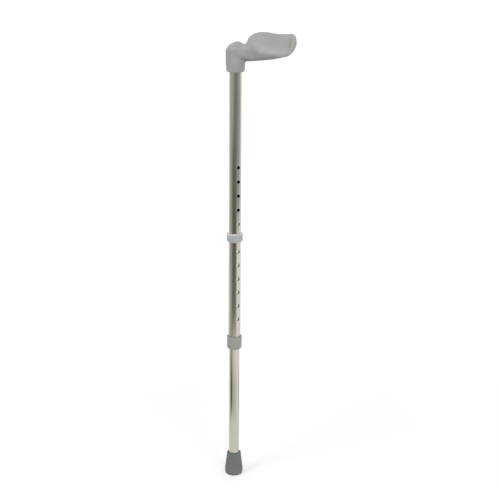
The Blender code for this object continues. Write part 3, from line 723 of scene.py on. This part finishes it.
class STICK_OT_tubes(bpy.types.Operator):
    """Make the two drawn tubes with their deburred adjusting holes"""

    bl_idname = "stick.tubes"
    bl_label = "Tubes"

    def execute(self, context):
        settings = context.scene.stick_tubes
        top_hole = PIN_HEIGHT + settings.holes_above_pin * settings.hole_pitch
        heights = [top_hole - i * settings.hole_pitch for i in range(settings.hole_count)]
        upper = self.tube("bronze_upper_tube", settings, UPPER_BOX, heights)
        radius, reach = 0.0022, 0.02    # of the screw's hole, from the tube's middle to the far side
        to_far_side = Matrix.Translation((0, 0, SCREW_HEIGHT)) @ Z_TO_Y
        screw_hole = spun([(0, 0), (radius, 0), (radius, reach), (0, reach)], SCREW_STEPS // 2, to_far_side)
        combine(upper, screw_hole, "DIFFERENCE")
        above_holes, above_foot = 0.03, 0.02    # the tubes' scuffs end and begin this far above them
        bronze = tube_material("bronze_anodised", settings.upper, 0.22, UPPER_BOX[1].x,
                               scuff_low=COLLAR_BOX[1].z, scuff_high=top_hole + above_holes)
        dress(upper, bronze, "upper", "upper_tube")

        lower = self.tube("silver_lower_tube", settings, LOWER_BOX, [PIN_HEIGHT])
        silver = tube_material("silver_anodised", settings.lower, 0.20, LOWER_BOX[1].x,
                               scuff_low=FERRULE_BOX[1].z + above_foot, scuff_high=LOWER_BOX[1].z)
        dress(lower, silver, "leg", "lower_tube")
        return {"FINISHED"}

    def tube(self, name, settings, box, heights):
        """One tube with a pair of holes at each height."""
        radius, low, high = box[1].x, box[0].z, box[1].z
        inner = radius - settings.wall
        chamfer = settings.end_chamfer
        profile = [(inner, low), (radius - chamfer, low), (radius, low + chamfer), (radius, high - chamfer),
                   (radius - chamfer, high), (inner, high)]
        bm = spun(profile, TUBE_STEPS, closed=True)
        band = 0.0055    # rings of edges this far from each hole's middle keep its cut faces small
        for plane in [height + offset for height in heights for offset in (-band, band)]:
            bmesh.ops.bisect_plane(bm, geom=bm.verts[:] + bm.edges[:] + bm.faces[:], plane_co=(0, 0, plane),
                                   plane_no=(0, 0, 1))
        tube = from_bmesh(name, bm)
        drill, chamfers = bmesh.new(), bmesh.new()
        hole, reach = settings.hole_radius, radius + 0.002
        for height in heights:
            for turn in (HOLE_TURN, HOLE_TURN + math.pi):
                side = Matrix.Translation((0, 0, height)) @ Matrix.Rotation(turn, 4, "Z")
                join(chamfers, self.chamfer_tool(settings, radius, reach, side))
            across = side @ Z_TO_X
            join(drill, spun([(0, -reach), (hole, -reach), (hole, reach), (0, reach)], HOLE_STEPS, across))
        combine(tube, drill, "DIFFERENCE")
        combine(tube, chamfers, "DIFFERENCE")
        return tube

    def chamfer_tool(self, settings, radius, reach, side):
        """A cone for one side, bent round the tube so that it takes the hole's curved edge off evenly."""
        hole, width, depth = settings.hole_radius, settings.deburr_width, settings.deburr_depth
        below, above = 0.4, 0.3    # shares of the chamfer by which the cone runs past its two edges
        tip, tip_depth = hole - width * below, radius - depth * (1 + below)
        rim, rim_depth = hole + width * (1 + above), radius + depth * above
        profile = [(0, tip_depth), (tip, tip_depth), (rim, rim_depth), (rim, reach), (0, reach)]
        raised = Matrix.Translation((0, 0, settings.deburr_rise))
        bm = spun(profile, HOLE_STEPS, raised @ Z_TO_X)
        for vertex in bm.verts:
            vertex.co.x -= radius - math.sqrt(radius ** 2 - vertex.co.y ** 2)
        bm.transform(side)
        return bm


class STICK_OT_height_clip(bpy.types.Operator):
    """Make the C-shaped clip with its pin"""

    bl_idname = "stick.height_clip"
    bl_label = "Height clip"

    def execute(self, context):
        settings = context.scene.stick_clip
        low, high = CLIP_BOX[0].z - PIN_HEIGHT, CLIP_BOX[1].z - PIN_HEIGHT
        bore = UPPER_BOX[1].x + TOUCH_GAP
        outer = bore + settings.wall
        edge = settings.edge
        lower = arc((outer - edge, low + edge), (edge, edge), range(-90, 1, 15))
        upper = arc((outer - edge, high - edge), (edge, edge), range(0, 91, 15))
        profile = [(bore, low), *lower, *upper, (bore, high)]
        clip = from_bmesh("height_clip_ring", spun(profile, RING_STEPS, closed=True))
        mouth = block((outer, settings.mouth, (high - low) * 2), Matrix.Translation((-outer, 0, 0)))
        combine(clip, mouth, "DIFFERENCE")
        round_edges(clip, settings.end_edge, 3)
        radius, root = settings.pin_radius, bore + settings.wall / 2
        bevel = radius / 3
        knee = bevel * 0.3    # the bevel on the pin's end has two slopes, which meet here
        pin = [
            (0, root), (radius, root), (radius, bevel - bore), (radius - knee, knee - bore),
            (radius - bevel, -bore), (0, -bore),
        ]
        combine(clip, spun(pin, HOLE_STEPS, Z_TO_X), "UNION")
        clip.data.transform(Matrix.Translation((0, 0, PIN_HEIGHT)) @ Matrix.Rotation(HOLE_TURN, 4, "Z"))
        seam = {"Normal": (math.sin(HOLE_TURN), -math.cos(HOLE_TURN), 0.0)}
        material, tree, shader = plastic_material("clip_plastic", settings.plastic, roughness=0.28,
                                                  grain_scale=2200.0, grain_height=0.000008, seam=seam)
        # a painted highlight on the ring's rounded top edge, and a fainter one on its bottom edge
        height, painted_highlight = along_axis(tree, "Z"), from_screen(226, 227, 229)
        for end, inward, strength in ((CLIP_BOX[1].z, -edge, 0.85), (CLIP_BOX[0].z, edge, 0.35)):
            highlight_at_end = spread(tree, height, end + inward, end + inward * 0.4, 0.0, strength)
            layer_over(tree, shader, highlight_at_end, painted_highlight)
        dress(clip, material, "clip", "height_clip")
        return {"FINISHED"}


class STICK_OT_end_collar(bpy.types.Operator):
    """Make the collar on the upper tube's lower end"""

    bl_idname = "stick.end_collar"
    bl_label = "End collar"

    def execute(self, context):
        settings = context.scene.stick_collar
        low, high, radius = COLLAR_BOX[0].z, COLLAR_BOX[1].z, COLLAR_BOX[1].x
        step = low + settings.lip - TOUCH_GAP
        grip_bore, lip_bore = UPPER_BOX[1].x + settings.squeeze, LOWER_BOX[1].x + settings.play
        chamfer = settings.end_chamfer
        profile = [
            (radius, high), (radius, low + chamfer), (radius - chamfer / 3, low + chamfer / 3),
            (radius - chamfer * 2 / 3, low), (lip_bore, low), (lip_bore, step), (grip_bore, step),
            (grip_bore, high),
        ]
        collar = from_bmesh("anti_rattle_collar", spun(profile, RING_STEPS, closed=True))
        round_edges(collar, settings.edge, 3, 20)
        seam = {"Normal": (1.0, 0.0, 0.0)}
        material = plastic_material("collar_plastic", settings.plastic, roughness=0.48, grain_scale=1700.0,
                                    grain_height=0.000025, seam=seam)[0]
        dress(collar, material, "upper", "end_collar")
        return {"FINISHED"}


# Radius and height of the foot's bellied side, from its mouth down
FERRULE_SIDE = [
    (0.0134, 0.0357), (0.0140, 0.0305), (0.0147, 0.0257), (0.0151, 0.0212), (0.0157, 0.0168),
    (0.0162, 0.0135),
]


class STICK_OT_ferrule(bpy.types.Operator):
    """Make the bell-shaped rubber foot with its tread"""

    bl_idname = "stick.ferrule"
    bl_label = "Rubber foot"

    def execute(self, context):
        settings = context.scene.stick_ferrule
        foot, top = FERRULE_BOX[1].x, FERRULE_BOX[1].z
        bore, floor = LOWER_BOX[1].x + settings.squeeze, settings.floor
        sole = foot - 0.0022    # radius of the flat that stands on the floor
        mouth = [(bore, top - 0.0006), (bore + 0.0002, top - 0.0002), (bore + 0.0006, top), (0.0125, top),
                 (0.0129, top - 0.0006), (0.0130, top - 0.0035)]
        heel = [(foot, 0.0105), (foot, 0.0060), (foot - 0.0003, 0.0030), (foot - 0.0010, 0.0010), (sole, 0.0)]
        profile = [(0, floor), (bore, floor), *mouth, *FERRULE_SIDE, *heel]
        disc, draft = 0.004, 0.0002    # radius of the tread's middle, and slant of its grooves' sides
        width, depth = settings.groove_width, settings.groove_depth
        land = (sole - disc - 2 * width) / 2
        for near in (disc + land + width, disc):
            far = near + width
            profile += [(far, 0), (far - draft, depth), (near + draft, depth), (near, 0)]
        profile.append((0, 0))
        ferrule = from_bmesh("rubber_foot", spun(profile, RING_STEPS))
        material, tree, shader = plastic_material("grey_rubber", settings.rubber, roughness=0.78,
                                                  grain_scale=1200.0, grain_height=0.00004, clouding=0.06,
                                                  speckle=0.06)
        dust = settled_dust(tree, {"Full": 0.0, "Gone": 0.018, "Amount": 0.25})["Mask"]
        layer_over(tree, shader, dust, from_screen(150, 147, 140))
        change_roughness(tree, shader, dust, 0.15)
        # painted contact shadow: the rubber darkened along its lowest edge
        contact_shadow = spread(tree, along_axis(tree, "Z"), settings.contact_shadow / 2, settings.contact_shadow, 0.8, 0.0)
        layer_over(tree, shader, contact_shadow, shaded(settings.rubber, 0.25))
        shader.inputs["Specular IOR Level"].default_value = 0.35
        dress(ferrule, material, "leg", "ferrule", sharp=40)
        return {"FINISHED"}


class STICK_OT_handle_screw(bpy.types.Operator):
    """Make the pan-headed screw that holds the handle on"""

    bl_idname = "stick.handle_screw"
    bl_label = "Handle screw"

    def execute(self, context):
        settings = context.scene.stick_screw
        head_radius = (SCREW_BOX[1].x - SCREW_BOX[0].x) / 2
        height, shank = settings.head_height, settings.shank_radius
        seat = SCREW_BOX[1].y - height
        end = SCREW_BOX[0].y - seat
        head = arc((0, 0), (head_radius, height), range(80, -1, -10))
        profile = [(0, height), *head, (shank, 0), (shank, end + shank), (0, end)]
        screw = from_bmesh("handle_screw", spun(profile, SCREW_STEPS))
        for turn in (0.0, math.pi / 2):
            lying = Matrix.Translation((0, 0, height)) @ Matrix.Rotation(turn, 4, "Z")
            arm = block((head_radius * 1.1, settings.cross_width, height), lying)
            combine(screw, arm, "DIFFERENCE")
        screw.data.transform(Matrix.Translation((0, seat, SCREW_HEIGHT)) @ Z_TO_Y)
        dress(screw, steel_material("screw_steel", settings.steel), "upper", "grip_screw")
        return {"FINISHED"}


class STICK_OT_inner_parts(bpy.types.Operator):
    """Give the plug, the bush and the washer inside the stick their materials"""

    bl_idname = "stick.inner_parts"
    bl_label = "Inner parts"

    def execute(self, context):
        for node, name, shade in (
            ("tube_plug", "plug_nylon", (205, 203, 196)), ("guide_bush", "bush_nylon", (222, 218, 205)),
        ):
            nylon = plastic_material(name, from_screen(*shade), roughness=0.5, grain_scale=1800.0,
                                     grain_height=0.00002)[0]
            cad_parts[node].material_slots[0].material = nylon
        zinc = steel_material("washer_zinc", from_screen(180, 182, 184))
        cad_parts["ferrule_washer"].material_slots[0].material = zinc
        return {"FINISHED"}


# The cards on the round white screen, each laid over those before it: the direction of its middle in
# degrees from the camera, half its width, the width over which its sides fade, its lower and upper
# ends in metres, and its colour
SCREEN_WHITE = (1.1, 1.1, 1.1)
CARD_END_FADE = 0.04
SCREEN_CARDS = [
    (-70, 12, 44, -0.2, 1.3, (0.54, 0.515, 0.46)),     # warm grey, left
    (56, 14, 46, 0.41, 1.3, (0.42, 0.42, 0.425)),      # grey, right, over the handle's half
    (-9, 30, 26, 0.18, 1.3, (0.17, 0.17, 0.185)),      # dark cloth round the camera
    (-9, 30, 26, 0.56, 1.3, (0.265, 0.27, 0.30)),      # lighter cloth above it
    (-54, 20, 18, 0.60, 1.3, (0.54, 0.53, 0.52)),      # grey card beside that, left
    (-8, 36, 40, -0.2, 0.10, (0.60, 0.595, 0.62)),     # grey before the foot
    (-63, 8, 22, -0.2, 0.11, (0.07, 0.067, 0.06)),     # black strip, left of the foot
    (112, 6, 22, -0.2, 0.09, (0.50, 0.50, 0.50)),      # grey strip, right of the foot
    (180, 5, 8, -0.2, 1.3, (0.42, 0.42, 0.42)),        # grey strip behind, for the tubes' edges
]


# Each soft lamp's name, place, size in metres and power in watts
LAMPS = [
    ("lamp_left", (-1.25, -1.35, 2.3), 0.8, 15.8),
    ("lamp_right", (0.95, -1.35, 2.1), 0.8, 6.9),
    ("lamp_back", (0.2, 1.6, 2.4), 1.6, 5.0),
    ("lamp_low", (1.10, -0.95, 0.25), 1.0, 4.0),
]
LAMPS_AIM = Vector((0.0, 0.0, 0.5))
PURE_WHITE = (1, 1, 1, 1)


class STICK_OT_stage(bpy.types.Operator):
    """Make the floor, the lamps, the reflected screen and the camera"""

    bl_idname = "stick.stage"
    bl_label = "Stage"

    def execute(self, context):
        settings = context.scene.stick_stage
        context.scene.view_settings.view_transform = "Standard"
        self.world(context.scene, settings)
        self.floor(settings)
        self.screen(settings)
        for lamp in LAMPS:
            self.lamp(*lamp)
        self.camera(context.scene, settings)
        return {"FINISHED"}

    def world(self, scene, settings):
        """White to the camera and to gloss, and a softer even light to surfaces."""
        scene.world = bpy.data.worlds.new("studio")
        tree = emptied_tree(scene.world)
        white = shader_of(tree, "Background", PURE_WHITE, 1.0)
        soft = shader_of(tree, "Background", PURE_WHITE, settings.sky)
        rays = place(tree, "LightPath").outputs
        seen = calc(tree, "MAXIMUM", calc(tree, "MAXIMUM", rays["Is Camera Ray"], rays["Is Glossy Ray"]),
                    rays["Is Transmission Ray"])
        place(tree, "OutputWorld", {"Surface": shader_of(tree, "MixShader", seen, soft, white)})

    def floor(self, settings):
        """A white floor that keeps the stick's soft shadow."""
        bm = bmesh.new()
        bmesh.ops.create_circle(bm, cap_ends=True, segments=64, radius=settings.floor_radius)
        floor = from_bmesh("studio_floor", bm)
        drop = 0.0001    # keeps it clear of the foot's sole
        floor.data.transform(Matrix.Translation((0, 0, -drop)))
        material = bpy.data.materials.new("white_floor")
        tree = emptied_tree(material)
        paper = shader_of(tree, "BsdfDiffuse", (0.72, 0.72, 0.72, 1))
        reach = place(tree, "VectorMath", {0: object_point(tree)}, operation="LENGTH").outputs["Value"]
        at_foot, far_off = 0.425, 0.68    # lifts the paper to white, but leaves a shadow at the foot
        glow = spread(tree, reach, 0.3, 1.6, at_foot, far_off, smooth=True)
        lifted = shader_of(tree, "AddShader", paper, shader_of(tree, "Emission", PURE_WHITE, glow))
        mirrored = shader_of(tree, "Emission", PURE_WHITE, 0.95)
        rays = place(tree, "LightPath").outputs
        seen = shader_of(tree, "MixShader", rays["Is Camera Ray"], paper, lifted)
        gloss = calc(tree, "MAXIMUM", rays["Is Glossy Ray"], rays["Is Transmission Ray"])
        place(tree, "OutputMaterial", {"Surface": shader_of(tree, "MixShader", gloss, seen, mirrored)})
        floor.data.materials.append(material)
        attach(floor, "leg")    # the foot stands on it at every height

    def screen(self, settings):
        """A round white screen with the studio's grey and black cards, which only gloss and metal see."""
        bm = bmesh.new()
        bmesh.ops.create_cone(bm, cap_ends=False, segments=64, radius1=settings.screen_radius,
                              radius2=settings.screen_radius, depth=settings.screen_height)
        screen = from_bmesh("reflected_screen", bm)
        screen.data.transform(Matrix.Translation((0, 0, settings.screen_height / 2)))
        for ray in ("camera", "diffuse", "transmission", "shadow"):
            setattr(screen, f"visible_{ray}", False)
        material = bpy.data.materials.new("screen_paint")
        material.cycles.emission_sampling = "NONE"
        tree = emptied_tree(material)
        turn = (0, 0, math.pi / 2 - settings.camera_azimuth)
        point = place(tree, "Mapping", {"Vector": object_point(tree), "Rotation": turn}).outputs[0]
        around = place(tree, "TexGradient", {"Vector": point}, gradient_type="RADIAL")
        degrees = spread(tree, around.outputs["Fac"], 0.0, 1.0, -180.0, 180.0)
        height = along_axis(tree, "Z")
        shown = opaque(SCREEN_WHITE)
        for middle, half, fade, low, high, shade in SCREEN_CARDS:
            off = calc(tree, "PINGPONG", calc(tree, "SUBTRACT", degrees, middle), 180.0)
            across = spread(tree, off, half, half + fade, 1.0, 0.0)
            above = spread(tree, height, low - CARD_END_FADE, low + CARD_END_FADE)
            below = spread(tree, height, high - CARD_END_FADE, high + CARD_END_FADE, 1.0, 0.0)
            shown = blend_colours(tree, product(tree, across, above, below), shown, opaque(shade))
        place(tree, "OutputMaterial", {"Surface": shader_of(tree, "Emission", shown, 1.0)})
        screen.data.materials.append(material)

    def lamp(self, name, stand, size, power):
        """A soft square lamp that faces the stick's middle."""
        data = bpy.data.lights.new(name, "AREA")
        data.size = size
        data.energy = power
        lamp = new_object(name, data)
        lamp.location = stand
        lamp.rotation_euler = (LAMPS_AIM - lamp.location).to_track_quat("-Z", "Y").to_euler()

    def camera(self, scene, settings):
        """The camera at the photograph's place."""
        data = bpy.data.cameras.new("camera")
        data.lens = settings.lens
        camera = new_object("camera", data)
        turn, away = settings.camera_azimuth, settings.camera_distance
        camera.location = (away * math.sin(turn), -away * math.cos(turn), settings.camera_height)
        aim = (Matrix.Rotation(turn - settings.camera_yaw, 3, "Z")
               @ Matrix.Rotation(math.pi / 2 - settings.camera_pitch, 3, "X")
               @ Matrix.Rotation(settings.camera_roll, 3, "Z"))
        camera.rotation_euler = aim.to_euler()
        scene.camera = camera


class STICK_PT_sidebar(bpy.types.Panel):
    """The stick's pieces, in the 3D view's sidebar"""

    bl_idname = "STICK_PT_sidebar"
    bl_label = "Walking stick"
    bl_space_type = "VIEW_3D"
    bl_region_type = "UI"
    bl_category = "Walking stick"

    def draw(self, context):
        for operator, _, attribute in PIECES:
            box = self.layout.box()
            box.operator(operator.bl_idname)
            settings = getattr(context.scene, attribute, None)
            if settings:
                for key in settings.__annotations__:
                    box.prop(settings, key)


# Each piece's operator, its settings and the scene property that holds them
PIECES = [
    (STICK_OT_stage, StageSettings, "stick_stage"),
    (STICK_OT_handle, HandleSettings, "stick_handle"),
    (STICK_OT_handle_screw, ScrewSettings, "stick_screw"),
    (STICK_OT_tubes, TubeSettings, "stick_tubes"),
    (STICK_OT_height_clip, ClipSettings, "stick_clip"),
    (STICK_OT_end_collar, CollarSettings, "stick_collar"),
    (STICK_OT_ferrule, FerruleSettings, "stick_ferrule"),
    (STICK_OT_inner_parts, None, "stick_inner_parts"),
]


def register():
    """Register the settings, the operators and the panel."""
    for operator, settings, attribute in PIECES:
        if settings:
            bpy.utils.register_class(settings)
            setattr(bpy.types.Scene, attribute, PointerProperty(type=settings))
        bpy.utils.register_class(operator)
    bpy.utils.register_class(STICK_PT_sidebar)


def unregister():
    """Take away everything that register added."""
    bpy.utils.unregister_class(STICK_PT_sidebar)
    for operator, settings, attribute in reversed(PIECES):
        bpy.utils.unregister_class(operator)
        if settings:
            delattr(bpy.types.Scene, attribute)
            bpy.utils.unregister_class(settings)


def main():
    """Make every piece."""
    register()
    for operator, _, _ in PIECES:
        family, call = operator.bl_idname.split(".")
        getattr(getattr(bpy.ops, family), call)()


if __name__ == "__main__":
    main()
